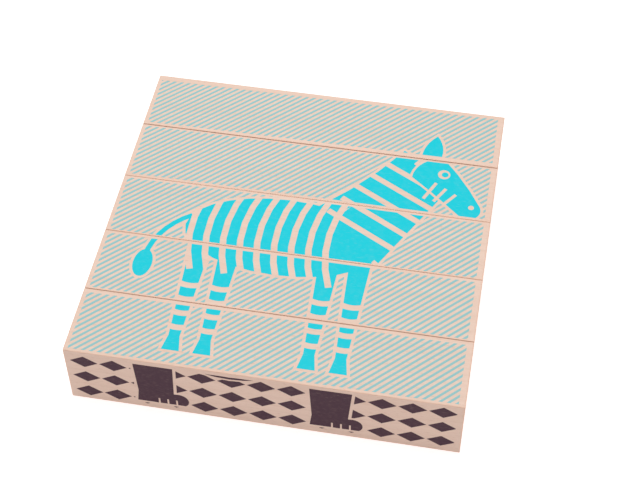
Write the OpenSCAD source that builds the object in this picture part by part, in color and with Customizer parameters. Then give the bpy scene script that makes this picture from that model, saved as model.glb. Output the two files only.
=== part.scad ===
// Five loose square wooden bars that lie side by side and make up one square picture.
// Each bar is printed on its four long sides, so a quarter turn of all five shows another picture.
// The origin is at the bottom centre of the row, +X runs along the bars, +Y to the rear and +Z up.
// Bar 1 is the rear bar and bar 5 the front bar. Sizes are in millimetres.

/* [Bar] */
// Length of every bar
bar_length = 176; // [150:1:200]
// Side of the square section
bar_side = 35; // [30:0.5:40]
// Radius of the sanded edges
edge_radius = 0.3; // [0.3:0.1:1.5]

/* [Row] */
// Gaps between the bars at rest, from the rear pair to the front pair
seam_gaps = [0.4, 0.12, 0.16, 0.26]; // [0.1:0.01:1]

/* [Wood] */
// Colour of the bare wood
wood_colour = "burlywood"; // [burlywood, wheat, tan]

/* [Hidden] */
NODES = ["bar_1", "bar_2", "bar_3", "bar_4", "bar_5"];
$fn = 48;

// Total width of the gaps behind bar n
function gaps_behind(n) = n == 1 ? 0 : seam_gaps[n - 2] + gaps_behind(n - 1);

row_depth = len(NODES) * bar_side + gaps_behind(len(NODES));

// Middle of bar n across the row
function bar_y(n) = row_depth / 2 - (n - 0.5) * bar_side - gaps_behind(n);

// Rectangle centred on the origin, with its corners rounded to the edge radius
module eased_rectangle(width, height) {
    inner_width = width - 2 * edge_radius;
    inner_height = height - 2 * edge_radius;
    square([width, inner_height], center = true);
    square([inner_width, height], center = true);
    for (x = [-1, 1] * inner_width / 2, y = [-1, 1] * inner_height / 2)
        translate([x, y]) circle(r = edge_radius);
}

// Block with the rounded outline, carried straight through its third direction
module eased_block(width, height, depth) {
    linear_extrude(height = depth, center = true) eased_rectangle(width, height);
}

// Bar number n in its place in the row: three blocks meet, so all twelve edges are sanded round
module bar(n) {
    color(wood_colour)
        translate([0, bar_y(n), bar_side / 2])
            intersection() {
                eased_block(bar_length, bar_side, bar_side);
                rotate([90, 0, 0]) eased_block(bar_length, bar_side, bar_side);
                rotate([90, 0, 90]) eased_block(bar_side, bar_side, bar_length);
            }
}

bar(1);  // bar_1
bar(2);  // bar_2
bar(3);  // bar_3
bar(4);  // bar_4
bar(5);  // bar_5
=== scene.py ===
"""Turning bar picture puzzle: bare beech and screen-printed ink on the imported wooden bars.

Each bar has four printed sides. The pictures are drawn flat, in millimetres, with +X to the right and +Y to
the top of the picture, then cut into strips, one for each bar, and laid on the bars' sides as films of ink.
"""

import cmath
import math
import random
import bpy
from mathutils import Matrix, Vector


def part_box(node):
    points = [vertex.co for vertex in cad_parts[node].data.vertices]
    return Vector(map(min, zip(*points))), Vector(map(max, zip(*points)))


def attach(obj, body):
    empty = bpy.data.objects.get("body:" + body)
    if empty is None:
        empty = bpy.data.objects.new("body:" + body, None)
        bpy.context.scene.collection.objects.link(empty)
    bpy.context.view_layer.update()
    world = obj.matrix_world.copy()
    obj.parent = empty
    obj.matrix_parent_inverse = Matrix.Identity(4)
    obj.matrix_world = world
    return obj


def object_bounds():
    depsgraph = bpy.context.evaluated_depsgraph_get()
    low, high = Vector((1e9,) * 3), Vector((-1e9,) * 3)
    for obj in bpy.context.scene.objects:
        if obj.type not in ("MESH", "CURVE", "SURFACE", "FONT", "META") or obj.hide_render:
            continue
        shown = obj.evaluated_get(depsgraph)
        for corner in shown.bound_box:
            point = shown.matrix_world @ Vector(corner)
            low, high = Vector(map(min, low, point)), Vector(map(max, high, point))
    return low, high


bl_info = {
    "name": "Turning Bar Picture Puzzle",
    "version": (1, 0, 0),
    "blender": (4, 5, 0),
    "location": "View3D > Sidebar > Bar Puzzle",
    "description": "Finishes five square wooden bars with beech grain and four screen-printed pictures",
    "category": "Object",
}

import bmesh
import bpy
from mathutils import Euler, Vector
from mathutils.geometry import delaunay_2d_cdt

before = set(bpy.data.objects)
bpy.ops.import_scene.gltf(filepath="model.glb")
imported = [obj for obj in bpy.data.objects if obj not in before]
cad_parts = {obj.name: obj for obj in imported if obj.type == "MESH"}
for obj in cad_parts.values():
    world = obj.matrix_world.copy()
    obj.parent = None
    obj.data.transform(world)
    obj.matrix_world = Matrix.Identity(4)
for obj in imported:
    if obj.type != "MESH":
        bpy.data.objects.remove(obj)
cad_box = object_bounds()

MM = 0.001
BARS = sorted(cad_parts)
BAR_BOXES = {name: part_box(name) for name in BARS}
BAR_SIZE = BAR_BOXES[BARS[0]][1] - BAR_BOXES[BARS[0]][0]
TURQUOISE, AUBERGINE = "turquoise", "aubergine"


def bar_centre(name):
    """Middle of a bar, in metres."""
    low, high = BAR_BOXES[name]
    return (low + high) / 2


# ---------------------------------------------------------------- settings


class PrintSettings(bpy.types.PropertyGroup):
    """Sizes and colours of the printed pictures"""

    film: bpy.props.FloatProperty(
        name="Ink Film", description="Thickness of the ink, half of it soaked into the wood",
        default=0.08 * MM, min=0.0, precision=5, unit="LENGTH")
    end_margin: bpy.props.FloatProperty(
        name="End Margin", description="Bare wood at both ends of a bar",
        default=2.5 * MM, min=0.0, precision=4, unit="LENGTH")
    edge_margin: bpy.props.FloatProperty(
        name="Edge Margin", description="Bare wood along both long edges of a bar's side",
        default=1.35 * MM, min=0.0, precision=4, unit="LENGTH")
    hatch_pitch: bpy.props.FloatProperty(
        name="Hatch Pitch", description="Distance from one slanted line to the next",
        default=2.515 * MM, min=0.0, precision=4, unit="LENGTH")
    hatch_line: bpy.props.FloatProperty(
        name="Hatch Line", description="Width of a slanted line",
        default=1.1 * MM, min=0.0, precision=4, unit="LENGTH")
    hatch_wear: bpy.props.FloatProperty(
        name="Hatch Wear", description="How much wood shows through the ink of the slanted lines",
        default=0.4, min=0.0, max=1.0)
    hatch_angle: bpy.props.FloatProperty(
        name="Hatch Angle", description="Slant of the lines behind the zebra",
        default=math.radians(45), subtype="ANGLE", unit="ROTATION")
    lozenge_pitch: bpy.props.FloatVectorProperty(
        name="Lozenge Pitch", description="Distance between lozenges along and across a bar",
        size=2, default=(13.2 * MM, 10.9 * MM), precision=4, unit="LENGTH")
    lozenge_size: bpy.props.FloatVectorProperty(
        name="Lozenge Size", description="Width and height of a lozenge",
        size=2, default=(12.4 * MM, 7.6 * MM), precision=4, unit="LENGTH")
    dot_pitch: bpy.props.FloatProperty(
        name="Dot Pitch", description="Distance from one dot behind the fish to the next",
        default=8.2 * MM, min=0.0, precision=4, unit="LENGTH")
    dot_size: bpy.props.FloatProperty(
        name="Dot Size", description="Width of a dot behind the fish",
        default=3.6 * MM, min=0.0, precision=4, unit="LENGTH")
    turquoise: bpy.props.FloatVectorProperty(
        name="Turquoise", description="Colour of the turquoise ink",
        subtype="COLOR", size=4, default=(0.006, 0.60, 0.70, 1.0), min=0.0, max=1.0)
    aubergine: bpy.props.FloatVectorProperty(
        name="Aubergine", description="Colour of the aubergine ink",
        subtype="COLOR", size=4, default=(0.062, 0.022, 0.040, 1.0), min=0.0, max=1.0)


class WoodSettings(bpy.types.PropertyGroup):
    """Colours and grain of the beech"""

    light: bpy.props.FloatVectorProperty(
        name="Light Wood", description="Colour of the pale early wood",
        subtype="COLOR", size=4, default=(0.83, 0.625, 0.52, 1.0), min=0.0, max=1.0)
    dark: bpy.props.FloatVectorProperty(
        name="Dark Wood", description="Colour of the darker late wood",
        subtype="COLOR", size=4, default=(0.69, 0.475, 0.365, 1.0), min=0.0, max=1.0)
    ring_pitch: bpy.props.FloatProperty(
        name="Ring Pitch", description="Width of a growth ring",
        default=2.6 * MM, min=0.0, precision=4, unit="LENGTH")
    tinted_edge: bpy.props.FloatProperty(
        name="Tinted Edge", description="Width of the rubbed wood along the edges",
        default=0.8 * MM, min=0.0, precision=4, unit="LENGTH")


class StageSettings(bpy.types.PropertyGroup):
    """Camera, lights and floor"""

    heading: bpy.props.FloatProperty(
        name="Heading", description="How far the camera stands to the right of the bars' front",
        default=math.radians(9.97), subtype="ANGLE", unit="ROTATION")
    elevation: bpy.props.FloatProperty(
        name="Elevation", description="Height of the camera over the floor, as an angle",
        default=math.radians(49.98), subtype="ANGLE", unit="ROTATION")
    distance: bpy.props.FloatProperty(
        name="Distance", description="Camera's distance, in lengths of a bar",
        default=3.970, min=0.5)
    aim: bpy.props.FloatVectorProperty(
        name="Aim", description="Where the camera looks, in lengths of a bar from the middle of the row",
        size=2, default=(0.0603, 0.0033))
    lens: bpy.props.FloatProperty(
        name="Lens", description="Focal length in millimetres on a 36 mm sensor",
        default=82.6, min=1.0, subtype="DISTANCE_CAMERA")
    floor: bpy.props.FloatVectorProperty(
        name="Floor", description="Colour of the floor",
        subtype="COLOR", size=4, default=(0.6, 0.6, 0.6, 1.0), min=0.0, max=1.0)
    sky: bpy.props.FloatProperty(
        name="Soft Light", description="Strength of the light from all around", default=0.26, min=0.0)
    glow: bpy.props.FloatProperty(
        name="Floor Glow", description="Light that comes up through the floor, as in a light table",
        default=0.76, min=0.0)
    glow_tint: bpy.props.FloatVectorProperty(
        name="Glow Tint", description="Colour of the light that comes up through the floor",
        subtype="COLOR", size=4, default=(0.98, 0.90, 0.90, 1.0), min=0.0, max=1.0)
    lamp: bpy.props.FloatProperty(
        name="Overhead Light", description="Power of the large soft light overhead",
        default=10.9, min=0.0, subtype="POWER", unit="POWER")


# ---------------------------------------------------------------- node trees


def new_group(name, kind, inputs, outputs):
    """New node group with named sockets, each given as (name, kind of socket, default). It comes with the
    sockets of its two end nodes."""
    tree = bpy.data.node_groups.new(name, kind)
    for label, socket, default in inputs:
        made = tree.interface.new_socket(label, in_out="INPUT", socket_type=socket)
        if default is not None:
            made.default_value = default
    for label, socket in outputs:
        tree.interface.new_socket(label, in_out="OUTPUT", socket_type=socket)
    return tree, tree.nodes.new("NodeGroupInput").outputs, tree.nodes.new("NodeGroupOutput").inputs


def add(tree, kind, *values, **settings):
    """New node. A value for each input in order is a socket to join, a constant, or None to leave it."""
    node = tree.nodes.new(kind)
    for name, setting in settings.items():
        setattr(node, name, setting)
    for socket, value in zip([s for s in node.inputs if s.enabled], values):
        put(tree, socket, value)
    return node


def put(tree, socket, value):
    """Joins a socket, or several, to an input, or sets its constant."""
    if isinstance(value, bpy.types.NodeSocket):
        tree.links.new(value, socket)
    elif isinstance(value, list):
        for source in value:
            tree.links.new(source, socket)
    elif value is not None:
        socket.default_value = value


def maths(tree, operation, *values, **settings):
    """Output of a Math node."""
    return add(tree, "ShaderNodeMath", *values, operation=operation, **settings).outputs[0]


def vector_maths(tree, operation, *values):
    """Output of a Vector Math node: a vector, or a value for a length."""
    node = add(tree, "ShaderNodeVectorMath", *values, operation=operation)
    return node.outputs["Value" if operation == "LENGTH" else "Vector"]


def use_group(tree, group, **values):
    """Node for a group, with its inputs set by name; a word's underscore stands for a space."""
    nodes = {"GeometryNodeTree": "GeometryNodeGroup", "ShaderNodeTree": "ShaderNodeGroup"}
    node = tree.nodes.new(nodes[group.bl_idname])
    node.node_tree = group
    for name, value in values.items():
        put(tree, node.inputs[name.replace("_", " ")], value)
    return node.outputs


def made_once(name, maker):
    """Node group by name, made on first use."""
    return bpy.data.node_groups.get(name) or maker()


LENGTH, VECTOR, COUNT = "NodeSocketFloat", "NodeSocketVector", "NodeSocketInt"
SHAPE, THING, FINISH = "NodeSocketGeometry", "NodeSocketObject", "NodeSocketMaterial"


def ruled_lines():
    """Group: parallel bars of ink at an angle, one of them through the point at the phase."""
    tree, given, made = new_group(
        "Ruled Lines", "GeometryNodeTree",
        [("Pitch", LENGTH, 0.002), ("Width", LENGTH, 0.001), ("Angle", LENGTH, 0.0), ("Phase", LENGTH, 0.0),
         ("Reach", LENGTH, 0.15), ("Film", LENGTH, 0.0001)],
        [("Lines", SHAPE)])
    each_way = maths(tree, "CEIL", maths(tree, "DIVIDE", given["Reach"], given["Pitch"]))
    count = maths(tree, "MULTIPLY_ADD", each_way, 2.0, 1.0)
    first = maths(tree, "SUBTRACT", given["Phase"], maths(tree, "MULTIPLY", each_way, given["Pitch"]))
    start = add(tree, "ShaderNodeCombineXYZ", 0.0, first, 0.0).outputs[0]
    step = add(tree, "ShaderNodeCombineXYZ", 0.0, given["Pitch"], 0.0).outputs[0]
    points = add(tree, "GeometryNodeMeshLine", count, start, step).outputs[0]
    span = maths(tree, "MULTIPLY", given["Reach"], 2.0)
    size = add(tree, "ShaderNodeCombineXYZ", span, given["Width"], given["Film"]).outputs[0]
    line = add(tree, "GeometryNodeMeshCube", size).outputs[0]
    lines = add(tree, "GeometryNodeInstanceOnPoints", points, None, line).outputs[0]
    whole = add(tree, "GeometryNodeRealizeInstances", lines).outputs[0]
    turn = add(tree, "ShaderNodeCombineXYZ", 0.0, 0.0, given["Angle"]).outputs[0]
    turned = add(tree, "GeometryNodeTransform", whole, None, turn).outputs[0]
    put(tree, made["Lines"], turned)
    return tree


MOTIFS = [
    ("Corners", COUNT, 4), ("Columns", COUNT, 13), ("Rows", COUNT, 3), ("Pitch", VECTOR, None),
    ("Size", VECTOR, None), ("Centre", VECTOR, None),
]


def motif_rows():
    """Group: rows of one motif in ink around a centre: lozenges with four corners, round dots with many."""
    tree, given, made = new_group(
        "Motif Rows", "GeometryNodeTree", [*MOTIFS, ("Film", LENGTH, 0.0001)], [("Motifs", SHAPE)])
    pitch = add(tree, "ShaderNodeSeparateXYZ", given["Pitch"]).outputs
    width = maths(tree, "MULTIPLY", maths(tree, "SUBTRACT", given["Columns"], 1.0), pitch["X"])
    depth = maths(tree, "MULTIPLY", maths(tree, "SUBTRACT", given["Rows"], 1.0), pitch["Y"])
    grid = add(tree, "GeometryNodeMeshGrid", width, depth, given["Columns"], given["Rows"]).outputs[0]
    points = add(tree, "GeometryNodeMeshToPoints", grid).outputs[0]
    placed = add(tree, "GeometryNodeSetPosition", points, None, None, given["Centre"]).outputs[0]
    motif = add(tree, "GeometryNodeMeshCylinder", given["Corners"], 1, 1, 0.5, given["Film"]).outputs[0]
    size = vector_maths(tree, "MULTIPLY_ADD", given["Size"], (1.0, 1.0, 0.0), (0.0, 0.0, 1.0))
    each = add(tree, "GeometryNodeInstanceOnPoints", placed, None, motif, None, None, None, size).outputs[0]
    put(tree, made["Motifs"], add(tree, "GeometryNodeRealizeInstances", each).outputs[0])
    return tree


def meet(tree, operation, first, *others):
    """Output of a Mesh Boolean: a difference takes the others off the first."""
    node = add(tree, "GeometryNodeMeshBoolean", operation=operation, solver="MANIFOLD")
    if operation == "DIFFERENCE":
        put(tree, node.inputs["Mesh 1"], first)
        put(tree, node.inputs["Mesh 2"], list(others))
    else:
        put(tree, node.inputs["Mesh 2"], [first, *others])
    return node.outputs["Mesh"]


def shape_of(tree, thing):
    """Geometry of the object on a socket."""
    return add(tree, "GeometryNodeObjectInfo", thing).outputs["Geometry"]


def close(tree, made, geometry, finish):
    """Ends a tree: instances are made real and the material is set."""
    real = add(tree, "GeometryNodeRealizeInstances", geometry).outputs[0]
    put(tree, made["Geometry"], add(tree, "GeometryNodeSetMaterial", real, None, finish).outputs[0])


PLACING = [
    ("Window", VECTOR, None), ("Window Slip", VECTOR, None), ("Window Tilt", LENGTH, 0.0),
    ("Ink Slip", VECTOR, None), ("Ink Tilt", LENGTH, 0.0), ("Bar Centre", VECTOR, None),
    ("Half Side", LENGTH, 0.0175), ("Side Turn", LENGTH, 0.0),
]


def strip_on_bar():
    """Group: the ink inside a bar's window, both a little off true, laid on a side of the bar."""
    tree, given, made = new_group(
        "Strip On Bar", "GeometryNodeTree", [("Ink", SHAPE, None), *PLACING], [("Strip", SHAPE)])
    def moved(thing, slip, tilt):
        """Shape shifted and turned in its plane."""
        turn = add(tree, "ShaderNodeCombineXYZ", 0.0, 0.0, given[tilt]).outputs[0]
        return add(tree, "GeometryNodeTransform", thing, given[slip], turn).outputs[0]
    back = vector_maths(tree, "MULTIPLY", given["Bar Centre"], (0.0, -1.0, 0.0))
    centred = add(tree, "GeometryNodeTransform", given["Ink"], back).outputs[0]
    window = add(tree, "GeometryNodeMeshCube", given["Window"]).outputs[0]
    strip = meet(tree, "INTERSECT", moved(centred, "Ink Slip", "Ink Tilt"),
                 moved(window, "Window Slip", "Window Tilt"))
    up = add(tree, "ShaderNodeCombineXYZ", 0.0, 0.0, given["Half Side"]).outputs[0]
    raised = add(tree, "GeometryNodeTransform", strip, up).outputs[0]
    turn = add(tree, "ShaderNodeCombineXYZ", given["Side Turn"], 0.0, 0.0).outputs[0]
    placed = add(tree, "GeometryNodeTransform", raised, given["Bar Centre"], turn).outputs[0]
    put(tree, made["Strip"], placed)
    return tree


def print_tree(name, pattern_inputs, pattern, strip):
    """Tree for a bar's strip of a picture: the figure, and a pattern kept off the figure's outline."""
    tree, given, made = new_group(
        name, "GeometryNodeTree",
        [("Geometry", SHAPE, None), ("Outline", THING, None), ("Film", LENGTH, 0.0001), ("Wear", LENGTH, 0.0),
         *pattern_inputs, *PLACING, ("Ink", FINISH, None)],
        [("Geometry", SHAPE)])
    wanted = {label: given[label] for label, _, _ in pattern_inputs}
    ground = use_group(tree, pattern, Film=given["Film"], **wanted)[0]
    worn = add(tree, "GeometryNodeStoreNamedAttribute", ground, None, "wear", given["Wear"], domain="FACE")
    clear = meet(tree, "DIFFERENCE", worn.outputs[0], shape_of(tree, given["Outline"]))
    ink = meet(tree, "UNION", clear, given["Geometry"])
    places = {label: given[label] for label, _, _ in PLACING}
    close(tree, made, use_group(tree, strip, Ink=ink, **places)["Strip"], given["Ink"])
    return tree


def grown_mesh(host, tree, inputs, name):
    """Plain mesh that a tree makes on a host object; inputs are set by each socket's identifier."""
    modifier = host.modifiers.new("Shape", "NODES")
    modifier.node_group = tree
    for item in tree.interface.items_tree:
        if item.in_out == "INPUT" and item.name in inputs:
            modifier[item.identifier] = inputs[item.name]
    host.update_tag()
    depsgraph = bpy.context.evaluated_depsgraph_get()
    depsgraph.update()
    mesh = bpy.data.meshes.new_from_object(host.evaluated_get(depsgraph), depsgraph=depsgraph)
    host.modifiers.remove(modifier)
    mesh.name = name
    if not mesh.polygons:
        raise RuntimeError(f"{name} came out empty")
    return mesh


# ---------------------------------------------------------------- drawing in millimetres


def outline(*corners):
    """Closed outline as complex numbers. A corner is (x, y), or (x, y, bow) where the side to the next corner
    is an arc that stands that far out, to the right of the way along it."""
    points = []
    for here, after in zip(corners, corners[1:] + corners[:1]):
        start, end = complex(*here[:2]), complex(*after[:2])
        points.append(start)
        if len(here) == 3:
            points += arc_between(start, end, here[2])
    return points


def arc_between(start, end, bow):
    """Inner points of the arc from start to end that stands out by bow."""
    turn = 4 * math.atan2(2 * bow, abs(end - start))
    steps = max(3, math.ceil(abs(turn) / math.radians(9)))
    whole = cmath.exp(1j * turn) - 1
    return [start + (end - start) * (cmath.exp(1j * turn * k / steps) - 1) / whole for k in range(1, steps)]


def box(left, right, low, high):
    """Rectangle."""
    return outline((left, low), (right, low), (right, high), (left, high))


def disc(x, y, radius, across=1.0):
    """Circle, or an ellipse that is across times as wide."""
    steps = 28
    turns = [2 * math.pi * k / steps for k in range(steps)]
    return [complex(x + across * radius * math.cos(t), y + radius * math.sin(t)) for t in turns]


def ribbon(width, *corners):
    """Band of even width along an open path whose corners are given as in an outline."""
    path = []
    for here, after in zip(corners, corners[1:]):
        start, end = complex(*here[:2]), complex(*after[:2])
        path.append(start)
        if len(here) == 3:
            path += arc_between(start, end, here[2])
    path.append(complex(*corners[-1][:2]))
    normals = []
    for k in range(len(path)):
        along = path[min(k + 1, len(path) - 1)] - path[max(k - 1, 0)]
        normals.append(1j * along / abs(along))
    left = [p + n * width / 2 for p, n in zip(path, normals)]
    right = [p - n * width / 2 for p, n in zip(path, normals)]
    return right + left[::-1]


def signed_area(shape):
    """Area of a closed outline, positive when it runs anticlockwise."""
    return sum((a.conjugate() * b).imag for a, b in zip(shape, shape[1:] + shape[:1])) / 2


def grown(shape, by):
    """Outline moved outwards, with the corners kept."""
    sign = 1 if signed_area(shape) > 0 else -1
    moved = []
    for before, here, after in zip(shape[-1:] + shape[:-1], shape, shape[1:] + shape[:1]):
        into, out = (here - before) / abs(here - before), (after - here) / abs(after - here)
        middle = into + out
        middle = middle / abs(middle) if abs(middle) > 1e-6 else into
        stretch = min(2.0, 1 / max(0.3, (middle * into.conjugate()).real))
        moved.append(here - 1j * sign * middle * by * stretch)
    return moved


def inked(*shapes):
    """Layers of ink, to be painted over what lies before them."""
    return [(True, shape) for shape in shapes]


def bared(*shapes):
    """Layers that leave bare wood in what lies before them."""
    return [(False, shape) for shape in shapes]


def flat_film(name, layers, film):
    """Object whose mesh is a closed flat film: at each point the last of the layers there decides."""
    points, loops = [], []
    for _, shape in layers:
        ring = shape if signed_area(shape) > 0 else shape[::-1]
        loops.append(list(range(len(points), len(points) + len(ring))))
        points += [Vector((p.real, p.imag)) for p in ring]
    spots, _, faces, _, _, sources = delaunay_2d_cdt(points, [], loops, 0, 1e-5)
    kept = [face for face, found in zip(faces, sources) if found and layers[max(found)][0]]
    made = bmesh.new()
    low = [made.verts.new((p.x * MM, p.y * MM, -film / 2)) for p in spots]
    high = [made.verts.new((p.x * MM, p.y * MM, film / 2)) for p in spots]
    for face in kept:
        made.faces.new([high[i] for i in face])
        made.faces.new([low[i] for i in reversed(face)])
    sides = {(face[k - 1], face[k]) for face in kept for k in range(len(face))}
    for a, b in sorted(sides):
        if (b, a) not in sides:
            made.faces.new([low[a], low[b], high[b], high[a]])
    bmesh.ops.delete(made, geom=[v for v in made.verts if not v.link_faces], context="VERTS")
    mesh = bpy.data.meshes.new(name)
    made.to_mesh(mesh)
    made.free()
    return new_object(name, mesh)


def new_object(name, mesh):
    """Object at the origin with a mesh, in the scene."""
    made = bpy.data.objects.new(name, mesh)
    bpy.context.scene.collection.objects.link(made)
    return made


def clear_away(*things):
    """Removes objects that were only needed to make a piece."""
    for thing in things:
        bpy.data.objects.remove(thing)


# ---------------------------------------------------------------- zebra


def zebra():
    """Layers of ink and silhouette of a plain zebra seen from its side."""
    body = disc(-6.0, -8.0, 23.0, 2.0)
    neck = outline((14.0, 4.0), (40.0, -16.0), (66.0, 34.0), (46.0, 50.0))
    mane = ribbon(9.0, (46.0, 54.0, -2.0), (10.0, 10.0))
    head = outline((48.0, 40.0), (58.0, 32.0), (74.0, 18.0, 4.0), (82.0, 26.0, 1.0), (62.0, 54.0, 4.0))
    ear = outline((51.0, 52.0), (60.0, 53.0, 2.0), (57.0, 69.0, 2.0))
    tail = ribbon(2.6, (-50.0, -2.0, 4.0), (-66.0, -30.0))
    tuft = disc(-66.0, -34.0, 8.0, 0.55)
    feet = (-42.0, -28.0, 18.0, 32.0)
    legs = [outline((x - 5.0, -16.0), (x - 2.5, -72.0), (x + 2.5, -72.0), (x + 5.0, -16.0)) for x in feet]
    hooves = [outline((x - 4.0, -80.0), (x + 4.0, -80.0), (x + 2.5, -72.0), (x - 2.5, -72.0)) for x in feet]
    parts = [body, neck, mane, head, ear, tail, tuft, *legs, *hooves]
    flank = [ribbon(3.0, (x, 18.0, 5.0), (x, -34.0)) for x in range(-44, 22, 8)]
    throat = [ribbon(3.0, (12.0 + 5 * k, 12.0 + 9 * k), (48.0 + 5 * k, -8.0 + 9 * k)) for k in range(5)]
    shins = [ribbon(3.0, (x - 6.0, y, 1.5), (x + 6.0, y)) for x in feet for y in range(-66, -34, 8)]
    cheek = [ribbon(1.6, (55.0 + 5 * k, 27.0 - k), (60.0 + 5 * k, 38.0 - 3 * k)) for k in range(3)]
    layers = inked(body, neck, mane, tail, tuft, *legs, *hooves) + bared(*flank, *throat, *shins)
    layers += bared(grown(head, 1.2)) + inked(head, ear) + bared(*cheek)
    layers += bared(disc(63.0, 44.0, 3.0)) + inked(disc(63.5, 44.0, 1.6)) + bared(disc(78.0, 25.0, 1.4))
    return layers, [grown(shape, 1.4) for shape in parts]


# ---------------------------------------------------------------- panda


def paw(x):
    """Layers and silhouette of a plain foot with three short slits between its toes."""
    foot = outline((x - 9.0, -83.0), (x + 13.0, -83.0, 3.5), (x + 9.0, -75.0), (x - 8.0, -75.0))
    slits = [ribbon(0.8, (x + 1.0 + 4 * k, -84.0), (x + 1.0 + 4 * k, -79.5)) for k in range(3)]
    return inked(foot) + bared(*slits), grown(foot, 1.4)


def panda():
    """Layers and silhouette of a plain panda on all fours, with its feet on the front bar."""
    rear_leg = outline((-58.0, -30.0), (-56.0, -76.0), (-40.0, -76.0), (-38.0, -30.0))
    fore_leg = outline((20.0, -30.0), (22.0, -76.0), (38.0, -76.0), (42.0, -30.0))
    belly = disc(-14.0, -36.0, 20.0, 1.4)
    trunk = outline((-50.0, -50.0), (20.0, -50.0), (30.0, 6.0, 9.0), (-44.0, 12.0, 16.0), (-62.0, -34.0, 3.0))
    yoke = outline(
        (20.0, -46.0), (37.0, -46.0), (43.0, -8.0), (31.0, 22.0, 1.0), (2.0, 25.0), (12.0, -8.0, -3.0))
    rear_paw, rear_reach = paw(-48.0)
    fore_paw, fore_reach = paw(30.0)
    face = disc(46.0, 22.0, 21.0, 1.12)
    ears = [disc(28.0, 42.0, 8.0), disc(64.0, 42.0, 8.0)]
    patches = [disc(38.0, 25.0, 5.6, 0.8), disc(54.0, 25.0, 5.6, 0.8)]
    eyes = [disc(38.6, 26.0, 1.7), disc(53.4, 26.0, 1.7)]
    nose = outline((46.0, 11.6), (49.6, 15.6, 0.6), (42.4, 15.6))
    mouth = [ribbon(0.8, (39.6, 8.6, 1.6), (46.0, 9.0, 1.6), (52.4, 8.6)), box(45.6, 46.4, 9.0, 12.4)]
    layers = inked(grown(trunk, 1.3), grown(belly, 1.3)) + bared(trunk, belly)
    layers += inked(rear_leg, fore_leg, yoke, *ears, grown(face, 0.8)) + bared(face)
    layers += inked(*patches, nose, *mouth) + bared(*eyes) + rear_paw + fore_paw
    halo = [grown(shape, 2.4) for shape in (belly, trunk, face)]
    legs = [grown(shape, 1.4) for shape in (rear_leg, fore_leg)]
    return layers, [*legs, yoke, *ears, *halo, rear_reach, fore_reach]


# ---------------------------------------------------------------- fish and owl


def fish():
    """Layers of ink and silhouette of a plump fish that swims to the left."""
    body = outline((-64.0, 0.0, 31.0), (40.0, 0.0, 31.0))
    tail = outline((36.0, -4.0), (76.0, -32.0, -9.0), (76.0, 32.0), (36.0, 4.0))
    top_fin = outline((24.0, 24.0), (34.0, 50.0, 4.0), (-20.0, 31.0))
    low_fin = outline((-10.0, -31.0, -3.0), (22.0, -48.0), (22.0, -24.0))
    side_fin = outline((-18.0, -16.0, 5.0), (8.0, -4.0, 5.0))
    gill = ribbon(2.0, (-30.0, 26.0, 7.0), (-30.0, -26.0))
    bands = [ribbon(3.2, (x, 30.0, 6.0), (x, -30.0)) for x in (-14.0, -4.0, 6.0, 16.0, 26.0)]
    layers = inked(top_fin, low_fin, tail, body) + bared(gill, *bands, grown(side_fin, 1.2)) + inked(side_fin)
    layers += bared(disc(-44.0, 7.0, 5.4)) + inked(disc(-44.8, 7.4, 2.8))
    return layers, [grown(shape, 1.4) for shape in (body, tail, top_fin, low_fin)]


def owl():
    """Layers of ink and silhouette of a round owl on a branch."""
    body = disc(0.0, -6.0, 52.0, 0.72)
    left_tuft = outline((-34.0, 20.0), (-6.0, 42.0), (-36.0, 62.0))
    right_tuft = outline((6.0, 42.0), (34.0, 20.0), (36.0, 62.0))
    tufts = [left_tuft, right_tuft]
    chest = disc(0.0, -22.0, 30.0, 0.7)
    bars = [ribbon(2.4, (x - 4.5, y, 3.0), (x + 4.5, y)) for x, y in CHEST_MARKS]
    rims = [disc(x, 22.0, 14.0) for x in (-14.5, 14.5)]
    irises = [disc(x, 22.0, 10.5) for x in (-14.5, 14.5)]
    glints = [disc(x, 25.0, 3.0) for x in (-11.5, 11.5)]
    beak = outline((0.0, 4.0), (5.0, 15.0, 1.0), (-5.0, 15.0))
    branch = box(-70.0, 70.0, -72.0, -62.0)
    claws = [disc(x, -61.0, 3.6, 0.7) for x in (-15.0, -9.5, 9.5, 15.0)]
    layers = inked(branch, body, *tufts) + bared(chest, *rims, grown(beak, 1.4)) + inked(*irises, *bars, beak)
    layers += bared(*glints, *[disc(x, -61.0, 4.8, 0.8) for x in (-15.0, -9.5, 9.5, 15.0)]) + inked(*claws)
    return layers, [grown(shape, 1.4) for shape in (branch, body, *tufts, *claws)]


CHEST_MARKS = [
    (0.0, -6.0), (-8.0, -14.0), (8.0, -14.0), (0.0, -22.0), (-8.0, -30.0), (8.0, -30.0), (0.0, -38.0),
]


# ---------------------------------------------------------------- materials


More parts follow.
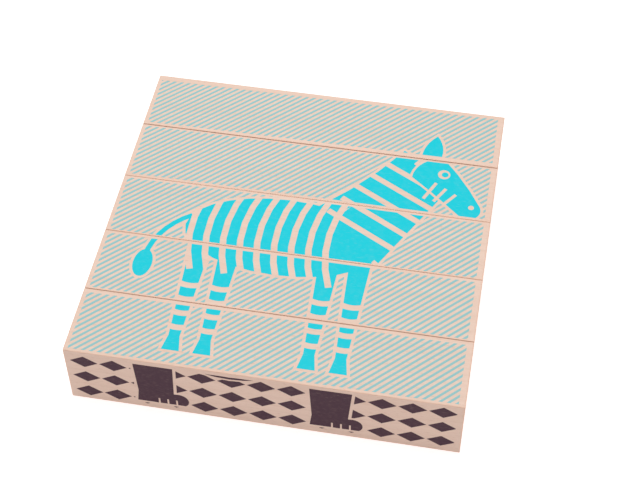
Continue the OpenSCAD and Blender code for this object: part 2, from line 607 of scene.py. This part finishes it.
def beech_grain():
    """Group: growth rings around a distant heart of the tree, fine fibres, broad streaks and small flecks."""
    tree, given, made = new_group(
        "Beech Grain", "ShaderNodeTree",
        [("Position", VECTOR, None), ("Centre", VECTOR, None), ("Heart", VECTOR, None),
         ("Ring Pitch", LENGTH, 0.0026)],
        [("Rings", LENGTH), ("Fibres", LENGTH), ("Streaks", LENGTH), ("Flecks", LENGTH)])
    local = vector_maths(tree, "SUBTRACT", given["Position"], given["Centre"])
    seeded = vector_maths(tree, "MULTIPLY_ADD", given["Heart"], (9.0, 7.0, 5.0), local)
    def noise(stretch, detail):
        """Soft noise, drawn out along the bar."""
        placed = vector_maths(tree, "MULTIPLY", seeded, stretch)
        node = add(tree, "ShaderNodeTexNoise", noise_dimensions="3D")
        for name, value in (("Vector", placed), ("Scale", 1.0), ("Detail", detail), ("Roughness", 0.55)):
            put(tree, node.inputs[name], value)
        return node.outputs["Fac"]
    wander = maths(tree, "MULTIPLY", maths(tree, "SUBTRACT", noise((7.0, 24.0, 24.0), 2.0), 0.5), 0.012)
    across = vector_maths(tree, "MULTIPLY", vector_maths(tree, "SUBTRACT", local, given["Heart"]), (0, 1, 1))
    radius = maths(tree, "ADD", vector_maths(tree, "LENGTH", across), wander)
    year = maths(tree, "FRACT", maths(tree, "DIVIDE", radius, given["Ring Pitch"]))
    late = maths(tree, "POWER", year, 2.5)
    fade = maths(tree, "MULTIPLY", maths(tree, "SUBTRACT", 1.0, year), 8.0)
    fall = maths(tree, "SMOOTH_MIN", late, fade, 0.1)
    put(tree, made["Rings"], fall)
    put(tree, made["Fibres"], noise((32.0, 1500.0, 1500.0), 3.0))
    put(tree, made["Streaks"], noise((5.0, 130.0, 130.0), 3.0))
    fleck = add(tree, "ShaderNodeMapRange", noise((380.0, 2300.0, 2300.0), 1.0), 0.62, 0.72, 0.0, 1.0)
    put(tree, made["Flecks"], fleck.outputs[0])
    return tree


def edge_mask():
    """Group: how near a point of a block lies to the block's edges, and to its two ends."""
    tree, given, made = new_group(
        "Edge Wear", "ShaderNodeTree",
        [("Position", VECTOR, None), ("Centre", VECTOR, None), ("Half Size", VECTOR, None),
         ("Width", LENGTH, 0.001)],
        [("Edge", LENGTH), ("End", LENGTH)])
    local = vector_maths(tree, "SUBTRACT", given["Position"], given["Centre"])
    inside = vector_maths(tree, "SUBTRACT", given["Half Size"], vector_maths(tree, "ABSOLUTE", local))
    depth = add(tree, "ShaderNodeSeparateXYZ", inside).outputs
    nearest = maths(tree, "MINIMUM", maths(tree, "MINIMUM", depth["X"], depth["Y"]), depth["Z"])
    total = maths(tree, "ADD", maths(tree, "ADD", depth["X"], depth["Y"]), depth["Z"])
    farthest = maths(tree, "MAXIMUM", maths(tree, "MAXIMUM", depth["X"], depth["Y"]), depth["Z"])
    second = maths(tree, "SUBTRACT", maths(tree, "SUBTRACT", total, nearest), farthest)
    rough = add(tree, "ShaderNodeTexNoise", noise_dimensions="3D")
    put(tree, rough.inputs["Vector"], local)
    put(tree, rough.inputs["Scale"], 260.0)
    wide = maths(tree, "MULTIPLY", given["Width"], maths(tree, "MULTIPLY", rough.outputs["Fac"], 2.0))
    # Mask for the darker orange tint along the edges, fading in over a noisy width
    edge = add(tree, "ShaderNodeMapRange", second, 0.0, wide, 1.0, 0.0, interpolation_type="SMOOTHSTEP")
    end = add(tree, "ShaderNodeMapRange", depth["X"], 0.0001, 0.0004, 1.0, 0.0)
    put(tree, made["Edge"], edge.outputs[0])
    put(tree, made["End"], end.outputs[0])
    return tree


def blend_colour(tree, share, first, second, mode="MIX"):
    """Output of a colour Mix node."""
    node = add(tree, "ShaderNodeMix", data_type="RGBA", blend_type=mode, clamp_factor=True)
    for name, value in (("Factor", share), ("A", first), ("B", second)):
        socket = next(s for s in node.inputs if s.name == name and s.enabled)
        put(tree, socket, value)
    return next(s for s in node.outputs if s.enabled)


def heart_of(number):
    """Where the heart of the tree lies from a bar's middle: each bar comes from another board."""
    turn = math.radians(200 + 137.5 * number)
    distance = 0.075 + 0.018 * ((3 * number) % 5)
    return (0.37 * number, distance * math.cos(turn), distance * math.sin(turn))


def new_material(name):
    """Material with its Principled shader and the Object coordinates."""
    material = bpy.data.materials.new(name)
    material.use_nodes = True
    tree = material.node_tree
    shader = next(n for n in tree.nodes if n.type == "BSDF_PRINCIPLED")
    place = tree.nodes.new("ShaderNodeTexCoord").outputs["Object"]
    return material, tree, shader, place


def beech(name, settings):
    """Sanded beech of one bar."""
    material, tree, shader, place = new_material(f"beech_{name}")
    centre = tuple(bar_centre(name))
    half = tuple(BAR_SIZE / 2)
    number = BARS.index(name)
    grain = use_group(tree, made_once("Beech Grain", beech_grain), Position=place, Centre=centre,
                      Heart=heart_of(number), Ring_Pitch=settings.ring_pitch)
    # The Edge output drives a darker orange tint along every edge; the End output marks the end grain
    wear = use_group(tree, made_once("Edge Wear", edge_mask), Position=place, Centre=centre, Half_Size=half,
                     Width=settings.tinted_edge)
    ring_share = maths(tree, "MULTIPLY_ADD", wear["End"], 0.4, 0.22)
    streaks = maths(tree, "MULTIPLY", grain["Streaks"], 0.55)
    tone = maths(tree, "MULTIPLY_ADD", grain["Rings"], ring_share, streaks)
    tone = maths(tree, "MULTIPLY_ADD", grain["Fibres"], 0.40, tone)
    tone = maths(tree, "SUBTRACT", tone, 0.25, use_clamp=True)
    wood = blend_colour(tree, tone, tuple(settings.light), tuple(settings.dark))
    fleck_share = maths(tree, "MULTIPLY", grain["Flecks"], 0.22)
    flecked = blend_colour(tree, fleck_share, wood, (0.50, 0.27, 0.17, 1.0))
    ended = blend_colour(tree, maths(tree, "MULTIPLY", wear["End"], 0.35), flecked, (0.56, 0.35, 0.24, 1.0))
    # Darker, more orange tint along every edge of the bar
    tinted = blend_colour(tree, maths(tree, "MULTIPLY", wear["Edge"], 0.42), ended, (0.84, 0.50, 0.34, 1.0))
    put(tree, shader.inputs["Base Color"], tinted)
    put(tree, shader.inputs["Roughness"], maths(tree, "MULTIPLY_ADD", grain["Fibres"], 0.2, 0.5))
    shader.inputs["Specular IOR Level"].default_value = 0.3
    height = maths(tree, "SUBTRACT", grain["Fibres"], maths(tree, "MULTIPLY", grain["Flecks"], 0.5))
    bump = add(tree, "ShaderNodeBump")
    put(tree, bump.inputs["Strength"], 0.25)
    put(tree, bump.inputs["Distance"], 0.0001)
    put(tree, bump.inputs["Height"], height)
    put(tree, shader.inputs["Normal"], bump.outputs[0])
    return material


def ink(name, colour_name, prints, wood):
    """Screen ink on one bar: mottled, with the fibres of the wood showing faintly through."""
    material, tree, shader, place = new_material(f"{colour_name}_ink_{name}")
    number = BARS.index(name)
    grain = use_group(tree, made_once("Beech Grain", beech_grain), Position=place,
                      Centre=tuple(bar_centre(name)), Heart=heart_of(number), Ring_Pitch=wood.ring_pitch)
    colour = tuple(getattr(prints, colour_name))
    cloud = add(tree, "ShaderNodeTexNoise", noise_dimensions="3D")
    put(tree, cloud.inputs["Vector"], place)
    put(tree, cloud.inputs["Scale"], 420.0)
    put(tree, cloud.inputs["Detail"], 4.0)
    thin = maths(tree, "MULTIPLY_ADD", cloud.outputs["Fac"], 0.10, -0.045, use_clamp=True)
    thin = maths(tree, "MULTIPLY_ADD", grain["Flecks"], 0.05, thin, use_clamp=True)
    worn = add(tree, "ShaderNodeAttribute", attribute_name="wear").outputs["Fac"]
    base = blend_colour(tree, worn, colour, tuple(wood.dark))
    base = blend_colour(tree, thin, base, tuple(wood.light))
    put(tree, shader.inputs["Base Color"], base)
    put(tree, shader.inputs["Roughness"], maths(tree, "MULTIPLY_ADD", cloud.outputs["Fac"], 0.25, 0.42))
    shader.inputs["Specular IOR Level"].default_value = 0.15
    bump = add(tree, "ShaderNodeBump")
    put(tree, bump.inputs["Strength"], 0.15)
    put(tree, bump.inputs["Distance"], 0.0001)
    put(tree, bump.inputs["Height"], grain["Fibres"])
    put(tree, shader.inputs["Normal"], bump.outputs[0])
    return material


# ---------------------------------------------------------------- laying a picture on the bars

SIDES = {"top": 0.0, "front": 90.0, "bottom": 180.0, "rear": 270.0}
SEATS = {
    ("bar_1", "top"): (1.1, (-0.35, 0.4), (0.0, 0.0)),
    ("bar_2", "top"): (-0.05, (0.15, 0.0), (0.0, 0.0)),
    ("bar_3", "top"): (-0.3, (-0.35, 0.0), (0.0, 0.0)),
    ("bar_4", "top"): (-0.1, (-0.4, 0.0), (0.0, 0.0)),
    ("bar_5", "top"): (0.4, (-0.3, 0.0), (0.0, 0.0)),
    ("bar_5", "front"): (1.2, (0.0, 0.4), (0.25, 0.4)),
}


def seat(bar, side):
    """How the print sits on a side of a bar: the window's extra margin, then slip and tilt of the window and
    slip and tilt of the ink in it, in millimetres and degrees."""
    chance = random.Random(f"{bar} {side}")
    extra, off_true = chance.uniform(0.0, 0.3), (chance.uniform(-0.25, 0.25), chance.uniform(-0.2, 0.2))
    return SEATS.get((bar, side), (extra, off_true, off_true))


def lay_picture(name, side, colour_name, tree, figure, silhouette, pattern):
    """Cuts a picture into strips and lays one on the named side of each bar. pattern gives the tree's own
    inputs from the middle of a bar's strip."""
    prints, wood = bpy.context.scene.puzzle_prints, bpy.context.scene.puzzle_wood
    for bar in BARS:
        centre = bar_centre(bar)
        extra, (window_slip, window_tilt), (ink_slip, ink_tilt) = seat(bar, side)
        height = BAR_SIZE.z - 2 * prints.edge_margin - 2 * extra * MM
        inputs = {
            "Outline": silhouette, "Film": prints.film,
            "Window": (BAR_SIZE.x - 2 * prints.end_margin, height, 0.01),
            "Window Slip": (-0.5 * MM, window_slip * MM, 0.0), "Window Tilt": math.radians(window_tilt),
            "Ink Slip": (0.0, ink_slip * MM, 0.0), "Ink Tilt": math.radians(ink_tilt),
            "Bar Centre": tuple(centre), "Half Side": BAR_SIZE.z / 2, "Side Turn": math.radians(SIDES[side]),
            "Ink": ink(bar, colour_name, prints, wood), **pattern(centre.y),
        }
        mesh = grown_mesh(figure, tree, inputs, f"{name}_{bar}")
        piece = new_object(f"{name}_{bar}", mesh)
        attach(piece, bar)


def hatched_tree():
    """Tree for a figure on slanted lines."""
    return print_tree(
        "Hatched Print", [("Pitch", LENGTH, 0.002), ("Width", LENGTH, 0.001), ("Angle", LENGTH, 0.0)],
        made_once("Ruled Lines", ruled_lines), made_once("Strip On Bar", strip_on_bar))


def motif_tree():
    """Tree for a figure on rows of motifs."""
    return print_tree("Motif Print", MOTIFS, motif_rows(), made_once("Strip On Bar", strip_on_bar))


def drawn(name, layers, silhouette, film):
    """Figure and silhouette objects of a picture; the silhouette is taller so that it cuts through."""
    figure = flat_film(f"{name}_figure", layers, film)
    return figure, flat_film(f"{name}_outline", inked(*silhouette), 4 * film)


# ---------------------------------------------------------------- operators


class PUZZLE_OT_beech(bpy.types.Operator):
    """Gives each bar its own piece of sanded beech"""

    bl_idname = "puzzle.beech"
    bl_label = "Finish the Bars"

    def execute(self, context):
        for name in BARS:
            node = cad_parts[name]
            material = beech(name, context.scene.puzzle_wood)
            for slot in node.material_slots:
                slot.material = material
            if not node.material_slots:
                node.data.materials.append(material)
        return {"FINISHED"}


class PUZZLE_OT_zebra(bpy.types.Operator):
    """Prints the plain zebra on slanted lines on the bars' top sides"""

    bl_idname = "puzzle.zebra"
    bl_label = "Print the Zebra"

    def execute(self, context):
        prints = context.scene.puzzle_prints
        shapes, silhouette = drawn("zebra", *zebra(), prints.film)
        hatch = {
            "Pitch": prints.hatch_pitch, "Width": prints.hatch_line, "Angle": prints.hatch_angle,
            "Wear": prints.hatch_wear,
        }
        tree = made_once("Hatched Print", hatched_tree)
        lay_picture("zebra_print", "top", TURQUOISE, tree, shapes, silhouette, lambda y: hatch)
        clear_away(shapes, silhouette)
        return {"FINISHED"}


class PUZZLE_OT_panda(bpy.types.Operator):
    """Prints the panda on rows of lozenges on the bars' front sides"""

    bl_idname = "puzzle.panda"
    bl_label = "Print the Panda"

    def execute(self, context):
        prints = context.scene.puzzle_prints
        shapes, silhouette = drawn("panda", *panda(), prints.film)
        rows = {
            "Corners": 4, "Columns": 13, "Rows": 3, "Pitch": (*prints.lozenge_pitch, 0.0),
            "Size": (*prints.lozenge_size, 0.0),
        }
        tree = made_once("Motif Print", motif_tree)
        lay_picture("panda_print", "front", AUBERGINE, tree, shapes, silhouette,
                    lambda y: {**rows, "Centre": (0.0, y, 0.0)})
        clear_away(shapes, silhouette)
        return {"FINISHED"}


class PUZZLE_OT_fish(bpy.types.Operator):
    """Prints the fish on rows of dots on the bars' undersides"""

    bl_idname = "puzzle.fish"
    bl_label = "Print the Fish"

    def execute(self, context):
        prints = context.scene.puzzle_prints
        shapes, silhouette = drawn("fish", *fish(), prints.film)
        rows = {
            "Corners": 24, "Columns": 21, "Rows": 4, "Pitch": (prints.dot_pitch, prints.dot_pitch, 0.0),
            "Size": (prints.dot_size, prints.dot_size, 0.0),
        }
        tree = made_once("Motif Print", motif_tree)
        lay_picture("fish_print", "bottom", TURQUOISE, tree, shapes, silhouette,
                    lambda y: {**rows, "Centre": (0.0, y, 0.0)})
        clear_away(shapes, silhouette)
        return {"FINISHED"}


class PUZZLE_OT_owl(bpy.types.Operator):
    """Prints the owl on slanted lines on the bars' rear sides"""

    bl_idname = "puzzle.owl"
    bl_label = "Print the Owl"

    def execute(self, context):
        prints = context.scene.puzzle_prints
        shapes, silhouette = drawn("owl", *owl(), prints.film)
        hatch = {
            "Pitch": 2 * prints.hatch_pitch, "Width": 2 * prints.hatch_line, "Angle": -prints.hatch_angle,
        }
        tree = made_once("Hatched Print", hatched_tree)
        lay_picture("owl_print", "rear", AUBERGINE, tree, shapes, silhouette, lambda y: hatch)
        clear_away(shapes, silhouette)
        return {"FINISHED"}


class PUZZLE_OT_stage(bpy.types.Operator):
    """Sets the pale floor, the soft light and the camera"""

    bl_idname = "puzzle.stage"
    bl_label = "Set the Stage"

    def execute(self, context):
        settings = context.scene.puzzle_stage
        scene = context.scene
        set_floor(settings)
        set_light(settings)
        scene.camera = set_camera(settings)
        scene.view_settings.view_transform = "Standard"
        return {"FINISHED"}


FLOOR_REACH, FLOOR_DROP = 12 * BAR_SIZE.x, 0.2 * MM
LAMP_PLACE, LAMP_SIZE = Vector((-0.3, 0.8, 6.0)) * BAR_SIZE.x, 6 * BAR_SIZE.x


def set_floor(settings):
    """Wide plain floor under the bars."""
    mesh = bpy.data.meshes.new("floor")
    signs = [(-1, -1), (1, -1), (1, 1), (-1, 1)]
    corners = [(x * FLOOR_REACH, y * FLOOR_REACH, -FLOOR_DROP) for x, y in signs]
    mesh.from_pydata(corners, [], [(0, 1, 2, 3)])
    floor = new_object("floor", mesh)
    material, _, shader, _ = new_material("floor_paper")
    shader.inputs["Base Color"].default_value = settings.floor
    shader.inputs["Roughness"].default_value = 0.9
    shader.inputs["Specular IOR Level"].default_value = 0.1
    shader.inputs["Emission Color"].default_value = settings.glow_tint
    shader.inputs["Emission Strength"].default_value = settings.glow
    mesh.materials.append(material)


def set_light(settings):
    """Light from all around, and one large soft lamp overhead."""
    world = bpy.data.worlds.new("soft_light")
    world.use_nodes = True
    background = next(n for n in world.node_tree.nodes if n.type == "BACKGROUND")
    background.inputs["Color"].default_value = (1.0, 1.0, 1.0, 1.0)
    background.inputs["Strength"].default_value = settings.sky
    bpy.context.scene.world = world
    light = bpy.data.lights.new("overhead", "AREA")
    light.shape = "DISK"
    light.size = LAMP_SIZE
    light.energy = settings.lamp
    lamp = bpy.data.objects.new("overhead", light)
    lamp.location = LAMP_PLACE
    lamp.rotation_euler = (-lamp.location).to_track_quat("-Z", "Y").to_euler()
    bpy.context.scene.collection.objects.link(lamp)


def set_camera(settings):
    """Camera on its line of sight to the row's middle, level from side to side."""
    low, high = cad_box
    length = high[0] - low[0]
    aim = Vector((settings.aim[0] * length, settings.aim[1] * length, (low[2] + high[2]) / 2))
    flat = math.cos(settings.elevation)
    away = Vector((math.sin(settings.heading) * flat, -math.cos(settings.heading) * flat,
                   math.sin(settings.elevation)))
    data = bpy.data.cameras.new("camera")
    data.lens = settings.lens
    data.sensor_width = 36.0
    data.clip_start = 0.01
    camera = bpy.data.objects.new("camera", data)
    camera.location = aim + away * settings.distance * length
    camera.rotation_euler = Euler((math.pi / 2 - settings.elevation, 0.0, settings.heading))
    bpy.context.scene.collection.objects.link(camera)
    return camera


class PUZZLE_PT_panel(bpy.types.Panel):
    """Lists the steps and the settings"""

    bl_label = "Bar Puzzle"
    bl_idname = "PUZZLE_PT_panel"
    bl_space_type = "VIEW_3D"
    bl_region_type = "UI"
    bl_category = "Bar Puzzle"

    def draw(self, context):
        for step in STEPS:
            self.layout.operator(step.bl_idname)
        for group in (context.scene.puzzle_prints, context.scene.puzzle_wood, context.scene.puzzle_stage):
            for name in group.__annotations__:
                self.layout.prop(group, name)


STEPS = [PUZZLE_OT_stage, PUZZLE_OT_beech, PUZZLE_OT_zebra, PUZZLE_OT_panda, PUZZLE_OT_fish, PUZZLE_OT_owl]
SETTINGS = {"puzzle_prints": PrintSettings, "puzzle_wood": WoodSettings, "puzzle_stage": StageSettings}


def register():
    """Adds the settings, steps and panel to Blender."""
    for kind in [*SETTINGS.values(), *STEPS, PUZZLE_PT_panel]:
        bpy.utils.register_class(kind)
    for name, kind in SETTINGS.items():
        setattr(bpy.types.Scene, name, bpy.props.PointerProperty(type=kind))


def unregister():
    """Takes the settings, steps and panel out of Blender."""
    for name in SETTINGS:
        delattr(bpy.types.Scene, name)
    for kind in reversed([*SETTINGS.values(), *STEPS, PUZZLE_PT_panel]):
        bpy.utils.unregister_class(kind)


def main():
    """Runs every step in order."""
    register()
    bpy.ops.puzzle.stage()
    bpy.ops.puzzle.beech()
    bpy.ops.puzzle.zebra()
    bpy.ops.puzzle.panda()
    bpy.ops.puzzle.fish()
    bpy.ops.puzzle.owl()


if __name__ == "__main__":
    main()
